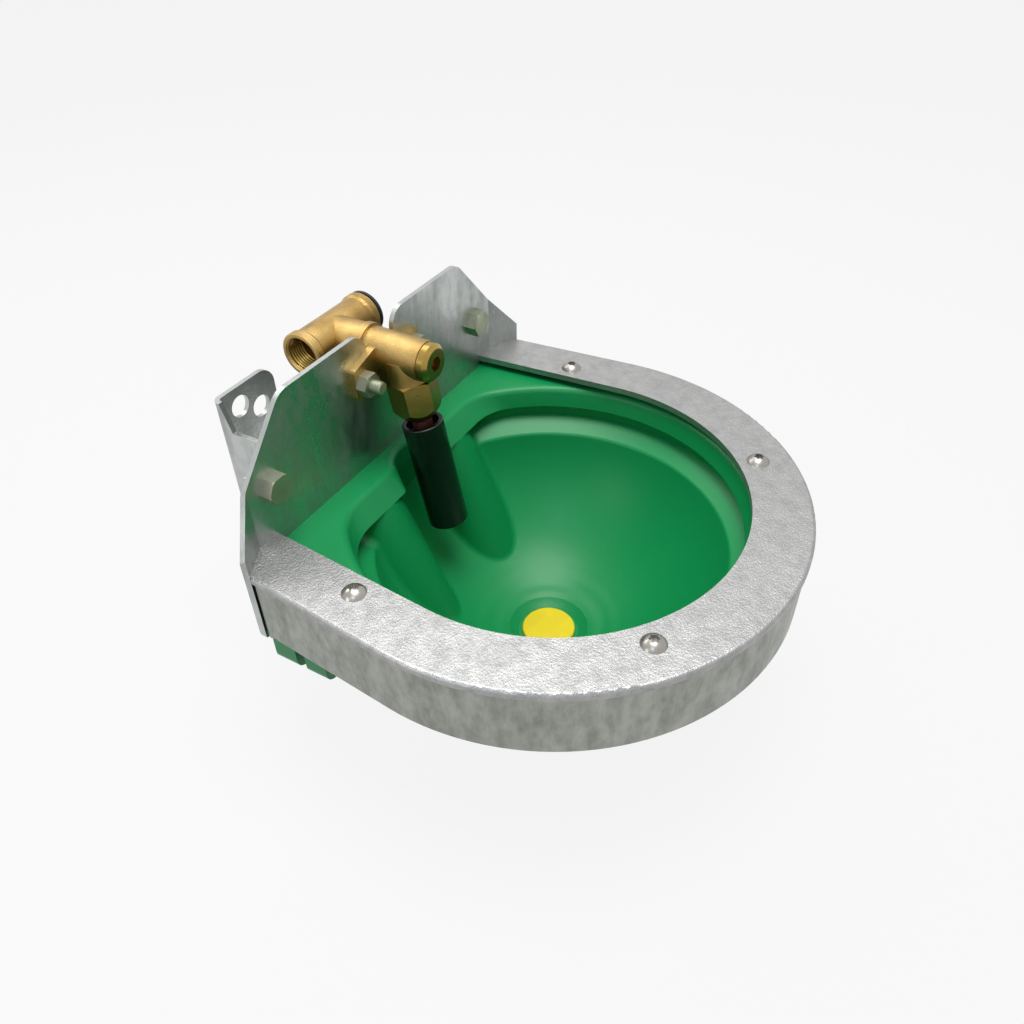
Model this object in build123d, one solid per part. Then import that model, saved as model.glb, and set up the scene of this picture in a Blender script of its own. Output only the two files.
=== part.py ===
from build123d import *
import math
import os

# Wall-hung livestock drinking bowl with a tilting-tube valve.
# Sizes are in millimetres.  While it is modelled the bowl stands in a working frame: X to the right
# seen from the front, Y back towards the wall, Z up, with the origin at the centre of the guard
# ring's arc on the ring's top face.  Everything is moved to the wall face as it is exported.

# --- guard: ring, skirt, back plate -----------------------------------------------------------
RING_R = 150.0             # outside radius of the guard ring
MOUTH_R = RING_R - 34.5    # radius of the opening in the ring
PLATE_Y = RING_R - 38.0    # front face of the back plate
RING_T = 4.0               # thickness of the ring's steel
RING_EDGE_R = 2.2          # rounding of the ring's outer top edge
SHEET = 3.0                # thickness of the skirt, the back plate and the wall brackets
SKIRT_INSET = 1.2          # how far the skirt stands in from the ring's edge
SKIRT_DROP = 41.0          # height of the skirt below the ring
SKIRT_END_Y = PLATE_Y - 18.0  # where the skirt stops short of the back plate
WELD_R = 4.3               # bead that fills the corner between them
WELD_IN = 4.6              # how far the bead's centre is in from the ring's edge
ARM_END_X = RING_R - 8.5    # outside half width of the ring's arms at the back plate
ARM_MOUTH_X = MOUTH_R - 8.5  # inside half width of the arms at the back plate
PLATE_TOP = 77.7           # top edge of the back plate's two lobes
PLATE_FOOT = -50.0         # bottom edge of the back plate
LOBE_X = RING_R - 65.5     # outer top corner of a lobe
LOBE_R = 14.0              # rounding of that corner
WING_BEND_X = RING_R - 29.0  # bend line of the wings
WING_ANGLE = 29.0          # how far the wings are bent forward
WING_TIP_Z = 10.0          # top of a wing's outer edge
WING_FOOT_R = 9.0          # rounding of a wing's bottom corner
NOTCH_GAP = 1.5            # space between the valve and the notch in the plate
NOTCH_LIP_R = 11.0         # rounding of the notch's top corners
BEND_R = 3.0               # inside radius of each bend

# --- ring screws -------------------------------------------------------------------------------
RING_SCREW_R = 3.0         # shank radius
RING_SCREW_LEN = 16.0      # length below the head
RING_HEAD_R = 6.8          # button head radius
RING_HEAD_H = 3.9
SOCKET_STAR_R = 2.8
SOCKET_STAR_DEPTH = 2.2
REAR_SCREW = (RING_R - 26.5, 47.0)
FRONT_SCREW_CIRCLE = RING_R - 22.0
FRONT_SCREW_ANGLE = 50.5   # degrees in front of the X axis
INSERT_R = RING_SCREW_R + 1.2             # brass thread insert in the bowl
INSERT_LEN = 13.0
HOLE_GAP = 0.3             # radial clearance of fastener holes

# --- moulded bowl ------------------------------------------------------------------------------
BOWL_GAP = 1.0             # space between the bowl's flange and the skirt
BASIN_Y = -2.0             # centre of the round basin
DECK_Z = -8.0              # rear deck and rim land
FLANGE_T = 5.0             # flange that the ring clamps
PAD_INSET = 10.0           # how far the raised seat of the flange stands out from the ring's mouth
LIP_R = MOUTH_R - 1.0      # narrowest radius of the overhanging lip
LIP_Z = -21.0              # underside of the lip
LIP_FLARE = 4.0            # how far the lip's inner wall leans out by deck level
LIP_BACK_FLARE = 11.0      # the same at the straight back, where it rolls over wide
LIP_BLEND = 4.0            # corner between the straight back and the tube's bay
LIP_BACK_Y = PLATE_Y - 26.0  # straight back edge of the lip
LIP_CORNER_R = 34.0
LIP_ROLL_R = 4.5           # rounding where the deck rolls over into the basin
TUBE_R = 12.8              # the tube's outside radius, which also sets the bay and the humps
TUBE_BAY_R = TUBE_R + 10.2  # round bay in the lip behind the tube
TUBE_BAY_Y = PLATE_Y - 31.0
UNDERCUT_R = LIP_R + 5.5   # recess below the lip
UNDERCUT_H = 9.0
LEDGE_R = LIP_R - 8.0      # edge of the ledge below the recess
LEDGE_Z = -38.0
LEDGE_ROUND = 3.0
FLOOR_Z = -122.0           # lowest point of the round basin
WALL = 4.0                 # wall thickness of the bowl
BASIN_BACK_Y = PLATE_Y - 8.0  # back of the recess
HUMP_R = 24.0              # two guide humps beside the tube
HUMP_X = HUMP_R + TUBE_R + 3.2
HUMP_TOP = (PLATE_Y - 1.0, -25.0)  # y and z of a hump's axis, high and low
HUMP_FOOT = (PLATE_Y - 37.0, -100.0)
HUMP_BLEND = 6.0           # rounding where a hump meets the round bottom
RIB_SPANS = ((PLATE_Y - 23.5, PLATE_Y - 7.5), (PLATE_Y - 44.5, PLATE_Y - 30.0))   # front and back of the gussets under each arm
RIB_FOOT = -74.0
RIB_X = RING_R - 14.5

# --- drain plug --------------------------------------------------------------------------------
PLUG_SHANK_R = 11.0
PLUG_HEAD_R = PLUG_SHANK_R + 6.5
PLUG_HEAD_T = 3.0
DRAIN_FLAT_R = PLUG_HEAD_R + 2.5  # flat middle of the dish, where the plug sits
DRAIN_FLAT_Z = FLOOR_Z - 0.8
DRAIN_DISH_R = DRAIN_FLAT_R + 6.0  # shallow dish round the drain
PLUG_LEN = 16.0
PLUG_GAP = 0.08
DRAIN_BOSS_R = PLUG_SHANK_R + 6.0
DRAIN_BOSS_H = 9.0         # how far the drain's spigot stands below the floor
PLUG_RING_R = 1.2          # section radius of the plug's rubber ring
PLUG_RING_DROP = 5.0       # how far below the plug's head the ring sits

# --- wall brackets -----------------------------------------------------------------------------
WALL_Y = PLATE_Y + 73.0    # wall face
BRACKET_X = 70.0           # outer face of a bracket's web
BRACKET_MID_Z = -9.0
BRACKET_H = 100.0
EAR_X = 21.5               # inner edge of a bracket's wall flange
EAR_R = 11.0
WEB_TOP_Z = 22.0           # top edge of the web between wall and plate
WEB_RISE_Y = 9.0           # how far forward of the wall the web reaches that height
FOOT_X = RING_R - 35.0     # outer edge of the bracket's front flange
OUTER_HOLE = (52.0, 37.0)  # x, and height above or below the middle
INNER_HOLE = (36.0, 28.0)
WALL_HOLE_R = 7.0

# --- bracket bolts -----------------------------------------------------------------------------
PLATE_BOLT = (RING_R - 47.5, 29.0)
M10_R = 5.0
M10_AF = 3.2 * M10_R
M10_HEAD = 1.28 * M10_R
M10_NUT = 1.2 * M10_R
BOLT_TAIL = 2.5            # thread that shows past a nut

# --- valve -------------------------------------------------------------------------------------
VALVE_Z = 60.5
BODY_R = 12.0
BODY_FRONT = PLATE_Y - 32.0
BODY_BACK = PLATE_Y + 6.0
BODY_BORE_R = 6.5
SPIGOT_R = 10.3            # male thread that enters the tee
SPIGOT_LEN = 12.0
FLANGE_FRONT = PLATE_Y - 4.6
FLANGE_X = 31.0
FLANGE_TOP = 6.5           # heights of the flange's edges above and below the body's axis
FLANGE_SHOULDER = 1.0
FLANGE_HEEL = -17.5
FLANGE_FOOT = -21.0
FLANGE_NECK_X = 12.0       # where the flange's edges start to slope
FLANGE_BOLT = (24.5, -9.0)
FLANGE_BOLT_TAIL = 7.0     # thread that shows in front of the nut
M8_R = 4.0
M8_AF = 3.25 * M8_R
M8_HEAD = 1.325 * M8_R
M8_NUT = 1.625 * M8_R
M8_WASHER_R = 2.0 * M8_R
M8_WASHER_T = 1.6
THREAD_GAP = 0.08          # radial clearance between mating threads

# --- outlet, all along an axis that leans forward ----------------------------------------------
OUTLET_Y = PLATE_Y - 16.6  # where the outlet's axis leaves the body's axis
OUTLET_LEAN = 11.0         # degrees from the vertical
CHAMBER_R = 9.2
BOSS_R = BODY_R + 1.0
BOSS_THREAD_R = CHAMBER_R + 2.3
BOSS_THREAD_LEN = 12.0
CHAMBER_TOP = 12.5
NUT_AF = 2 * BOSS_THREAD_R + 3.4
BOSS_LEN = BODY_R + 3.0    # long enough for the leaning nut to clear the body
NUT_FOOT_R = 9.8           # the hexagon is turned down to this radius at its foot
NUT_TURN = 18.0
NUT_TAPER = 7.0            # length of that taper
NUT_FOOT = 39.5
NUT_HOLE_R = 6.5
NUT_DOT_R = 0.9            # punch mark on one facet
NUT_DOT_DROP = 6.0
PIVOT = 29.0               # the stem's ball turns about this point
BALL_R = CHAMBER_R - 3.2
BALL_GAP = 0.05
SEAT_TOP = 31.0
SEAT_T = 3.0
SEAT_HOLE_R = BALL_R - 0.7
STEM_R = BALL_R - 2.0
STEM_END = 61.0
WASHER_TOP = 24.5
WASHER_T = 2.0
WASHER_R = CHAMBER_R - 1.6
SPRING_R = CHAMBER_R - 2.8
SPRING_WIRE = 0.6
SPRING_TURNS = 4

# --- tube --------------------------------------------------------------------------------------
TUBE_BORE_R = TUBE_R - 2.8
TUBE_TOP = 44.2
TUBE_LEN = 73.4
HOLDER_GAP = 0.05
HOLDER_NECK_BORE_R = STEM_R + 1.1
HOLDER_NECK_R = HOLDER_NECK_BORE_R + 1.1
HOLDER_TOP = 42.0
HOLDER_HUB = 51.0
HOLDER_FOOT = 63.0
HOLDER_PORT_R = 1.6
HOLDER_PORT_CIRCLE = STEM_R + 2.2

# --- regulating screw --------------------------------------------------------------------------
SCREW_FACE_Y = BODY_FRONT - 6.5
SCREW_HEAD_T = 6.4
SCREW_BEVEL = 2.4
SCREW_SHANK_R = 8.6
SCREW_SHANK_LEN = 10.0
SCREW_TIP_R = 4.2
SCREW_TIP_LEN = 4.0
SOCKET_AF = 8.0
SOCKET_DEPTH = 5.0
SCREW_RING_R = 1.1
SCREW_RING_PLACE = 4.5     # from the head's back face
SCREW_SEAT_GAP = 1.0       # how far the screw could still go in

# --- tee ---------------------------------------------------------------------------------------
TEE_Y = BODY_BACK + 29.0
TEE_HALF = 29.5
TEE_R = 12.8
TEE_BEAD_R = 13.9
TEE_BEAD = 5.0
TEE_BEAD_SLOPE = 1.6
TEE_THREAD_R = SPIGOT_R + THREAD_GAP
TEE_THREAD_LEN = 15.0
TEE_BORE_R = 8.0
TEE_MOUTH_R = 11.4         # countersunk mouth of each thread
TEE_BRANCH_R = 12.3
TEE_BRANCH_BORE_R = 7.2
TEE_BRANCH_BEAD_R = 13.4
TEE_BRANCH_BEAD = 4.5
STRAINER_R = 5.6
STRAINER_LEN = 18.0
STRAINER_WALL = 0.6
STRAINER_RIM_R = 9.0
TEE_PLUG_T = 2.4
TEE_PLUG_R = 13.6
TEE_PLUG_SHANK = 11.0
TEE_SEAL_T = 0.8


def disc_stack(*steps):
    """Solid turned about Z from (radius, low, high) steps."""
    solid = None
    for radius, low, high in steps:
        step = Pos(0, 0, low) * Cylinder(radius, high - low, align=(Align.CENTER, Align.CENTER, Align.MIN))
        solid = step if solid is None else solid + step
    return solid


def turned(points):
    """Solid turned about Z from a closed outline of (radius, height) points."""
    outline = make_face(Polyline(*points, close=True))
    return revolve(Rot(90, 0, 0) * outline, Axis.Z)


def ring_of(radius, section, height):
    """Rubber ring of round section about Z."""
    return Pos(0, 0, height) * Torus(radius, section)


def both_sides(solid):
    """The solid and its mirror image on the left."""
    return [solid, mirror(solid, Plane.YZ)]


def across(sketch, front, depth):
    """Outline drawn in X and Z, given a depth from one Y to another."""
    return Pos(0, front + depth, 0) * Rot(90, 0, 0) * extrude(sketch, depth)


def along_y(solid, x=0.0, y=0.0, z=0.0):
    """Turn a solid made along +Z to lie along -Y, out of the wall, at a place."""
    return Pos(x, y, z) * Rot(90, 0, 0) * solid


def hex_prism(flats, height):
    """Hexagon across flats, standing on Z = 0."""
    return extrude(RegularPolygon(flats / 2, 6, major_radius=False), height)


def hex_bolt(radius, flats, head, length):
    """Hex bolt: head above Z = 0, chamfered all round, shank below."""
    crown = disc_stack((flats * 0.62, 0, head))
    crown = chamfer(crown.edges().group_by(Axis.Z)[-1], head * 0.22)
    shank = Pos(0, 0, -length) * Cylinder(radius, length, align=(Align.CENTER, Align.CENTER, Align.MIN))
    shank = chamfer(shank.edges().group_by(Axis.Z)[0], radius * 0.2)
    return (hex_prism(flats, head) & crown) + shank


def hex_nut(radius, flats, height):
    """Hex nut from Z = 0 upwards, chamfered on both faces."""
    drum = disc_stack((flats * 0.62, 0, height))
    drum = chamfer(drum.edges().filter_by(GeomType.CIRCLE), height * 0.14)
    bore = Cylinder(radius + THREAD_GAP, 3 * height)
    return (hex_prism(flats, height) & drum) - bore


def arm_face(radius, end_x, end_y, reach=160.0):
    """Round front and two straight arms: the arc's tangents through a point each side, run on back."""
    distance = math.hypot(end_x, end_y)
    angle = math.atan2(end_y, end_x) - math.acos(radius / distance)
    tangent = (radius * math.cos(angle), radius * math.sin(angle))
    slope = (end_x - tangent[0]) / (end_y - tangent[1])
    far = (tangent[0] + slope * (reach - tangent[1]), reach)
    left_tangent = (-tangent[0], tangent[1])
    outline = [
        ThreePointArc(left_tangent, (0, -radius), tangent),
        Line(tangent, far),
        Line(far, (-far[0], far[1])),
        Line((-far[0], far[1]), left_tangent),
    ]
    return make_face(outline)


def slab(face, low, high):
    """Flat outline given a height from low to high."""
    return Pos(0, 0, low) * extrude(face, high - low)


def wing_run():
    """How far a wing reaches back from its tip to the bend, measured along Y."""
    return (ARM_END_X - WING_BEND_X) * math.tan(math.radians(WING_ANGLE))


def plate_front_points():
    """Plan of the back plate's front face, left to right."""
    tip = (ARM_END_X, PLATE_Y - wing_run())
    bend = (WING_BEND_X, PLATE_Y)
    return [(-tip[0], tip[1]), (-bend[0], bend[1]), bend, tip]


def behind_plate():
    """Plan of everything behind the back plate's front face."""
    left_tip, left_bend, right_bend, right_tip = plate_front_points()
    slope = (right_tip[1] - right_bend[1]) / (right_tip[0] - right_bend[0])
    far_x = 220.0
    far_y = right_bend[1] + slope * (far_x - right_bend[0])
    region = Polygon(
        (-far_x, far_y), left_bend, right_bend, (far_x, far_y), (far_x, 300), (-far_x, 300), align=None
    )
    bends = [v for v in region.vertices() if abs(v.Y - PLATE_Y) < 0.01]
    return fillet(bends, BEND_R)


def guard_outline():
    return arm_face(RING_R, ARM_END_X, PLATE_Y - wing_run())


def mouth_outline():
    return arm_face(MOUTH_R, ARM_MOUTH_X, PLATE_Y)


def ring_screw_places():
    """Four places round the ring, as (x, y)."""
    angle = math.radians(-FRONT_SCREW_ANGLE)
    front = (FRONT_SCREW_CIRCLE * math.cos(angle), FRONT_SCREW_CIRCLE * math.sin(angle))
    return [(side * x, y) for side in (1, -1) for x, y in (REAR_SCREW, front)]


# --- guard -------------------------------------------------------------------------------------
def make_guard_ring():
    ring = slab(guard_outline() - behind_plate(), -RING_T, 0)
    top_edges = ring.edges().filter_by_position(Axis.Z, -0.01, 0.01)
    rim = [edge for edge in top_edges if edge.center().Y < PLATE_Y - wing_run() - 3]
    ring = fillet(rim, RING_EDGE_R)
    ring -= slab(mouth_outline(), -RING_T - 1, 1)
    for x, y in ring_screw_places():
        ring -= Pos(x, y, 0) * Cylinder(RING_SCREW_R + HOLE_GAP, 3 * RING_T)
    return ring


def make_guard_skirt():
    outer = offset(guard_outline(), -SKIRT_INSET)
    inner = offset(guard_outline(), -SKIRT_INSET - SHEET)
    in_front = Pos(0, SKIRT_END_Y - 200) * Rectangle(400, 400)
    return slab((outer - inner) & in_front, -RING_T - SKIRT_DROP, -RING_T)


def make_guard_welds():
    """Weld bead down each outer corner, between the skirt's end and the plate's wing."""
    tip_y = PLATE_Y - wing_run()
    middle_y = (SKIRT_END_Y + tip_y) / 2
    bead = Pos(ARM_END_X - WELD_IN, middle_y) * Circle(WELD_R)
    room = guard_outline() - offset(guard_outline(), -SKIRT_INSET - SHEET)
    room -= Pos(0, SKIRT_END_Y - 200) * Rectangle(400, 400)
    bead = slab((bead & room) - behind_plate(), -RING_T - SKIRT_DROP, -RING_T)
    return both_sides(bead)


def plate_plan():
    front = plate_front_points()
    turn = math.tan(math.radians(WING_ANGLE) / 2)
    lean = math.radians(WING_ANGLE)
    step = (SHEET * math.sin(lean), SHEET * math.cos(lean))
    back = [
        (-front[3][0] - step[0], front[3][1] + step[1]),
        (-front[2][0] - SHEET * turn, front[2][1] + SHEET),
        (front[2][0] + SHEET * turn, front[2][1] + SHEET),
        (front[3][0] + step[0], front[3][1] + step[1]),
    ]
    plan = make_face(Polyline(*front, *reversed(back), close=True))
    bends = plan.vertices()
    inner = [v for v in bends if abs(v.Y - PLATE_Y) < 0.01]
    plan = fillet(inner, BEND_R)
    outer = [v for v in plan.vertices() if abs(v.Y - PLATE_Y - SHEET) < 0.01]
    return fillet(outer, BEND_R + SHEET)


def plate_elevation():
    """Outline of the plate seen from the front: straight in the flat, so steeper on the bent wings."""
    lean = math.radians(WING_ANGLE)
    tip_x = ARM_END_X + SHEET * math.sin(lean)
    flat_width = WING_BEND_X - LOBE_X + (tip_x - WING_BEND_X) / math.cos(lean)
    fall = (PLATE_TOP - WING_TIP_Z) / flat_width
    bend_z = PLATE_TOP - fall * (WING_BEND_X - LOBE_X)
    half = [(tip_x, PLATE_FOOT), (tip_x, WING_TIP_Z), (WING_BEND_X, bend_z), (LOBE_X, PLATE_TOP)]
    outline = make_face(Polyline(*half, *[(-x, z) for x, z in reversed(half)], close=True))
    feet = [v for v in outline.vertices() if abs(v.Y - PLATE_FOOT) < 0.01]
    outline = fillet(feet, WING_FOOT_R)
    lobes = [v for v in outline.vertices() if abs(v.Y - PLATE_TOP) < 0.01]
    outline = fillet(lobes, LOBE_R)
    slot = BODY_R + NOTCH_GAP
    rise = PLATE_TOP - VALVE_Z
    notch = Pos(0, VALVE_Z) * Circle(slot)
    notch += Pos(0, VALVE_Z + rise / 2) * Rectangle(2 * slot, rise + 0.01)
    outline -= notch
    lips = [v for v in outline.vertices() if abs(v.Y - PLATE_TOP) < 0.1 and abs(v.X) < slot + 0.1]
    return fillet(lips, NOTCH_LIP_R)


def make_back_plate():
    plate = slab(plate_plan(), PLATE_FOOT, PLATE_TOP)
    plate &= across(plate_elevation(), PLATE_Y - 40, 60)
    for side in (1, -1):
        bolt_hole = Cylinder(M10_R + HOLE_GAP, 4 * SHEET)
        plate -= along_y(bolt_hole, side * PLATE_BOLT[0], PLATE_Y, PLATE_BOLT[1])
        flange_hole = Cylinder(M8_R + HOLE_GAP, 4 * SHEET)
        plate -= along_y(flange_hole, side * FLANGE_BOLT[0], PLATE_Y, VALVE_Z + FLANGE_BOLT[1])
    return plate


def star_socket(low, depth):
    """Six-lobed driver socket."""
    star = Circle(SOCKET_STAR_R * 0.78)
    for turn in range(6):
        star += Rot(0, 0, 60 * turn) * Pos(SOCKET_STAR_R * 0.72, 0) * Circle(SOCKET_STAR_R * 0.28)
    return Pos(0, 0, low) * extrude(star, depth)


def make_ring_screws():
    """Button-head screws with a star socket."""
    dome_r = (RING_HEAD_R ** 2 + RING_HEAD_H ** 2) / (2 * RING_HEAD_H)
    head = (Pos(0, 0, RING_HEAD_H - dome_r) * Sphere(dome_r)) & disc_stack((RING_HEAD_R, 0, RING_HEAD_H))
    head -= star_socket(RING_HEAD_H - SOCKET_STAR_DEPTH, SOCKET_STAR_DEPTH + 1)
    shank = disc_stack((RING_SCREW_R, -RING_SCREW_LEN, 0))
    screw = head + shank
    return [Pos(x, y, 0) * screw for x, y in ring_screw_places()]


def make_ring_inserts():
    insert = disc_stack((INSERT_R, 0, INSERT_LEN))
    insert -= disc_stack((RING_SCREW_R + THREAD_GAP, -1, INSERT_LEN + 1))
    foot = DECK_Z - INSERT_LEN + 2
    return [Pos(x, y, foot) * insert for x, y in ring_screw_places()]


# --- bowl --------------------------------------------------------------------------------------
def basin_arc(radius_gain=0.0):
    """Radius and centre height of the round bottom, which meets the ledge's edge and the floor."""
    depth = LEDGE_Z - FLOOR_Z
    radius = (LEDGE_R ** 2 + depth ** 2) / (2 * depth)
    return radius + radius_gain, FLOOR_Z + radius


def basin_cavity():
    """Recess below the lip, ledge and round bottom, with a shallow dish round the drain."""
    radius, centre_z = basin_arc()
    undercut_foot = LIP_Z - UNDERCUT_H
    mid_angle = math.radians(40)
    middle = (radius * math.sin(mid_angle), centre_z - radius * math.cos(mid_angle))
    arc = ThreePointArc((LEDGE_R, LEDGE_Z), middle, (0, FLOOR_Z))
    lines = Polyline((0, FLOOR_Z), (0, LIP_Z), (UNDERCUT_R - 3, LIP_Z), (UNDERCUT_R, LIP_Z - 3),
                     (UNDERCUT_R, undercut_foot), (LEDGE_R, LEDGE_Z))
    outline = make_face([arc, lines])
    ledge = [v for v in outline.vertices() if abs(v.X - LEDGE_R) < 0.01]
    outline = fillet(ledge, LEDGE_ROUND)
    cavity = revolve(Rot(90, 0, 0) * outline, Axis.Z)
    edge_z = centre_z - math.sqrt(radius ** 2 - DRAIN_DISH_R ** 2)
    dish = turned([(0, edge_z), (DRAIN_DISH_R, edge_z), (DRAIN_FLAT_R, DRAIN_FLAT_Z), (0, DRAIN_FLAT_Z)])
    return Pos(0, BASIN_Y, 0) * (cavity + dish)


def basin_skin():
    """Outside of the bowl below its flange."""
    radius, centre_z = basin_arc(WALL)
    shoulder = UNDERCUT_R + WALL
    shoulder_z = LIP_Z - UNDERCUT_H - WALL * 0.4
    turn_z = LEDGE_Z - WALL
    turn_r = math.sqrt(radius ** 2 - (turn_z - centre_z) ** 2)
    mid_angle = math.radians(40)
    middle = (radius * math.sin(mid_angle), centre_z - radius * math.cos(mid_angle))
    arc = ThreePointArc((turn_r, turn_z), middle, (0, FLOOR_Z - WALL))
    lines = Polyline((0, FLOOR_Z - WALL), (0, DECK_Z), (shoulder, DECK_Z), (shoulder, shoulder_z),
                     (turn_r, turn_z))
    skin = revolve(Rot(90, 0, 0) * make_face([arc, lines]), Axis.Z)
    skin += Pos(0, 0, 0) * disc_stack((DRAIN_BOSS_R, FLOOR_Z - WALL - DRAIN_BOSS_H, FLOOR_Z))
    return Pos(0, BASIN_Y, 0) * skin


def lip_outline(gain, back_gain, bay_gain, blend):
    """Inner edge of the lip: round, cut straight at the back, with a bay behind the tube."""
    back = LIP_BACK_Y + back_gain
    lip = Circle(LIP_R + gain) & (Pos(0, back - 200) * Rectangle(400, 400))
    corners = [v for v in lip.vertices() if abs(v.Y - back) < 0.01]
    lip = fillet(corners, LIP_CORNER_R)
    lip += Pos(0, TUBE_BAY_Y) * Circle(TUBE_BAY_R + bay_gain)
    inner = [v for v in lip.vertices() if abs(v.Y - back) < 0.01 and abs(v.X) < TUBE_BAY_R + bay_gain + 1]
    return fillet(inner, blend)


def hump(radius, top_gap):
    """Leaning cylinder beside the tube."""
    rise = HUMP_TOP[1] - HUMP_FOOT[1]
    lean = math.degrees(math.atan2(HUMP_TOP[0] - HUMP_FOOT[0], rise))
    post = Pos(HUMP_X, HUMP_TOP[0], HUMP_TOP[1]) * Rot(-lean, 0, 0)
    post = post * Cylinder(radius, 260)
    head = Pos(0, 0, (DECK_Z - top_gap) - 150) * Box(400, 400, 300)
    return post & head


def make_bowl():
    flange_face = offset(guard_outline(), -SKIRT_INSET - SHEET - BOWL_GAP)
    bowl = slab(flange_face, DECK_Z - FLANGE_T, -RING_T)
    bowl -= slab(offset(mouth_outline(), PAD_INSET), DECK_Z, 0)
    bowl += basin_skin()
    for front, back in RIB_SPANS:
        rib = make_face(Polyline((60, DECK_Z - 1), (RIB_X, DECK_Z - 1), (RIB_X, RIB_FOOT),
                                 (RIB_X - 20, RIB_FOOT), (60, LEDGE_Z - 10), close=True))
        corners = [v for v in rib.vertices() if v.Y < RIB_FOOT + 1]
        rib = across(fillet(corners, 8.0), front, back - front)
        for gusset in both_sides(rib):
            bowl += gusset
    for x, y in ring_screw_places():
        bowl += Pos(x, y, 0) * disc_stack((INSERT_R + 3.0, DECK_Z - INSERT_LEN - 1, DECK_Z - 1))
    room = slab(Pos(0, BASIN_BACK_Y - 200) * Rectangle(600, 400), -300, 50)
    cavity = basin_cavity() & room
    for post in both_sides(hump(HUMP_R, -10)):
        cavity -= post
    feet = [e for e in cavity.edges().filter_by(GeomType.BSPLINE) if e.bounding_box().min.Z < LEDGE_Z - 30]
    bowl -= fillet(feet, HUMP_BLEND)
    for hollow in both_sides(hump(HUMP_R - WALL, FLANGE_T)):
        bowl -= hollow
    narrow = Pos(0, 0, LIP_Z - 0.5) * lip_outline(0, 0, 0, LIP_BLEND)
    wide = Pos(0, 0, DECK_Z + 1) * lip_outline(LIP_FLARE, LIP_BACK_FLARE, LIP_FLARE / 2, 3 * LIP_BLEND)
    bowl -= loft([narrow, wide])
    behind = slab(Pos(0, BASIN_BACK_Y + WALL + 200) * Rectangle(600, 400), -300, DECK_Z - FLANGE_T)
    bowl -= behind
    bowl -= slab(behind_plate(), -300, 50)
    plug_bore = disc_stack((PLUG_SHANK_R + PLUG_GAP, FLOOR_Z - 40, FLOOR_Z + 5))
    bowl -= Pos(0, BASIN_Y, 0) * plug_bore
    for x, y in ring_screw_places():
        bowl -= Pos(x, y, 0) * disc_stack((INSERT_R, DECK_Z - INSERT_LEN, 10))
    rim = [e for e in bowl.edges().filter_by(GeomType.BSPLINE) if abs(e.bounding_box().min.Z - DECK_Z) < 0.02]
    return fillet(rim, LIP_ROLL_R)


def make_drain_plug():
    """Plug pushed in from above, with a groove for its rubber ring and a finger recess on top."""
    groove_z = -PLUG_RING_DROP
    plug = disc_stack((PLUG_HEAD_R, 0, PLUG_HEAD_T), (PLUG_SHANK_R, -PLUG_LEN, 0))
    rim = [edge for edge in plug.edges().group_by(Axis.Z)[-1]]
    plug = fillet(rim, 1.2)
    groove = disc_stack((PLUG_SHANK_R + 1, groove_z - 1.5, groove_z + 1.5))
    groove -= disc_stack((PLUG_SHANK_R - 2 * PLUG_RING_R - 0.1, groove_z - 2, groove_z + 2))
    plug -= groove
    plug -= disc_stack((PLUG_SHANK_R - 5, -PLUG_LEN - 1, -3))
    return Pos(0, BASIN_Y, DRAIN_FLAT_Z) * plug


def make_drain_plug_seal():
    seal = ring_of(PLUG_SHANK_R - PLUG_RING_R - 0.02, PLUG_RING_R, -PLUG_RING_DROP)
    return Pos(0, BASIN_Y, DRAIN_FLAT_Z) * seal


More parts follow.
